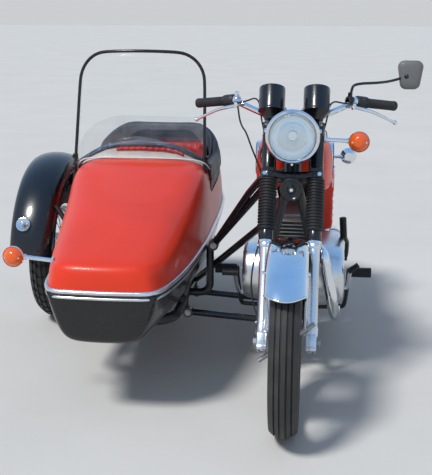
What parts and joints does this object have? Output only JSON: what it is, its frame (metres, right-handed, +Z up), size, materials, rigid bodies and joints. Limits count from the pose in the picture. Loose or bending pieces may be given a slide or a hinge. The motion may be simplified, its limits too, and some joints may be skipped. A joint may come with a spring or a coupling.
{
  "type": "sidecar motorcycle",
  "caption": "Motorcycle with an open-topped sidecar behind a clear windscreen: spoked wheels roll, the fork steers and the centre stand folds down.",
  "frame": {"origin": "middle of the outfit's box seen from above, on the ground", "axes": "+Z up, the outfit faces -Y, and the sidecar is on the -X side"},
  "size_m": [1.5899, 2.0988, 1.1931],
  "materials": {
    "tyre_rubber": "dull black road tyre",
    "wheel_metal": "bright rim and spokes, aluminium hub",
    "fork_aluminium": "polished cast legs",
    "black_rubber": "matte moulded rubber",
    "gloss_black": "gloss black enamel",
    "chrome": "bright chrome plate",
    "black_plastic": "black moulded housings",
    "red_paint": "gloss red enamel",
    "clear_glass": "clear",
    "orange_lens": "amber ribbed lens",
    "red_lens": "red ribbed lens",
    "black_vinyl": "black grained seat vinyl",
    "grey_vinyl": "dark padded vinyl roll",
    "red_vinyl": "red ribbed seat vinyl",
    "cast_aluminium": "sand-cast, grey",
    "polished_aluminium": "polished covers",
    "steel": "bare and zinc-plated steel",
    "plate_white": "blank white plate",
    "mirror_black": "black shell with a silvered face"
  },
  "bodies": {
    "root": {"main_frame": "gloss_black", "engine_block": "cast_aluminium", "engine_cylinder": "cast_aluminium", "engine_covers": "polished_aluminium", "exhaust": "chrome", "fuel_tank": "red_paint", "seat": "black_vinyl", "side_panels": "red_paint", "rear_mudguard": "chrome", "swing_arm": "gloss_black", "shock_absorbers": "chrome", "chain_case": "black_plastic", "foot_controls": "steel", "number_plate": "plate_white", "upper_body": "red_paint", "lower_tub": "gloss_black", "cockpit_collar": "grey_vinyl", "cockpit_roll": "grey_vinyl", "sidecar_cushion": "red_vinyl", "sidecar_backrest": "red_vinyl", "windscreen_hoop": "gloss_black", "windscreen_sheet": "clear_glass", "sidecar_mudguard": "gloss_black", "sidecar_chassis": "gloss_black", "sidecar_suspension": "gloss_black", "sidecar_struts": "gloss_black", "position_lamp": "clear_glass", "lamp_bases": "chrome", "indicator_lenses": "orange_lens", "tail_lenses": "red_lens"},
    "steering": {"fork_sliders": "fork_aluminium", "fork_bellows": "black_rubber", "fork_yokes": "gloss_black", "headlight_bowl": "gloss_black", "headlight_lens": "clear_glass", "instruments": "black_plastic", "horn": "black_plastic", "handlebar": "chrome", "grips": "black_rubber", "levers": "chrome", "mirror": "mirror_black", "front_mudguard": "chrome", "front_indicator": "chrome", "front_indicator_lens": "orange_lens", "brake_cable": "black_rubber"},
    "wheel_front": {"front_tyre": "tyre_rubber", "front_wheel": "wheel_metal"},
    "wheel_rear": {"rear_tyre": "tyre_rubber", "rear_wheel": "wheel_metal"},
    "wheel_sidecar": {"sidecar_tyre": "tyre_rubber", "sidecar_wheel": "wheel_metal"},
    "stand": {"centre_stand": "gloss_black"}
  },
  "joints": [
    {"name": "steering", "type": "hinge", "parent": "root", "child": "steering", "pos_m": [0.3551, -0.69229, 0.28475], "axis": [0, 0.4493, 0.8934], "range_deg": [-40, 40]},
    {"name": "front_wheel_spin", "type": "hinge", "parent": "steering", "child": "wheel_front", "pos_m": [0.3551, -0.7405, 0.309], "axis": [1, 0, 0], "continuous": true},
    {"name": "rear_wheel_spin", "type": "hinge", "parent": "root", "child": "wheel_rear", "pos_m": [0.3551, 0.6095, 0.292], "axis": [1, 0, 0], "continuous": true},
    {"name": "sidecar_wheel_spin", "type": "hinge", "parent": "root", "child": "wheel_sidecar", "pos_m": [-0.7089, 0.3725, 0.292], "axis": [1, 0, 0], "continuous": true},
    {"name": "centre_stand_fold", "type": "hinge", "parent": "root", "child": "stand", "pos_m": [0.3551, 0.2045, 0.14], "axis": [1, 0, 0], "range_deg": [-100, 0]}
  ]
}
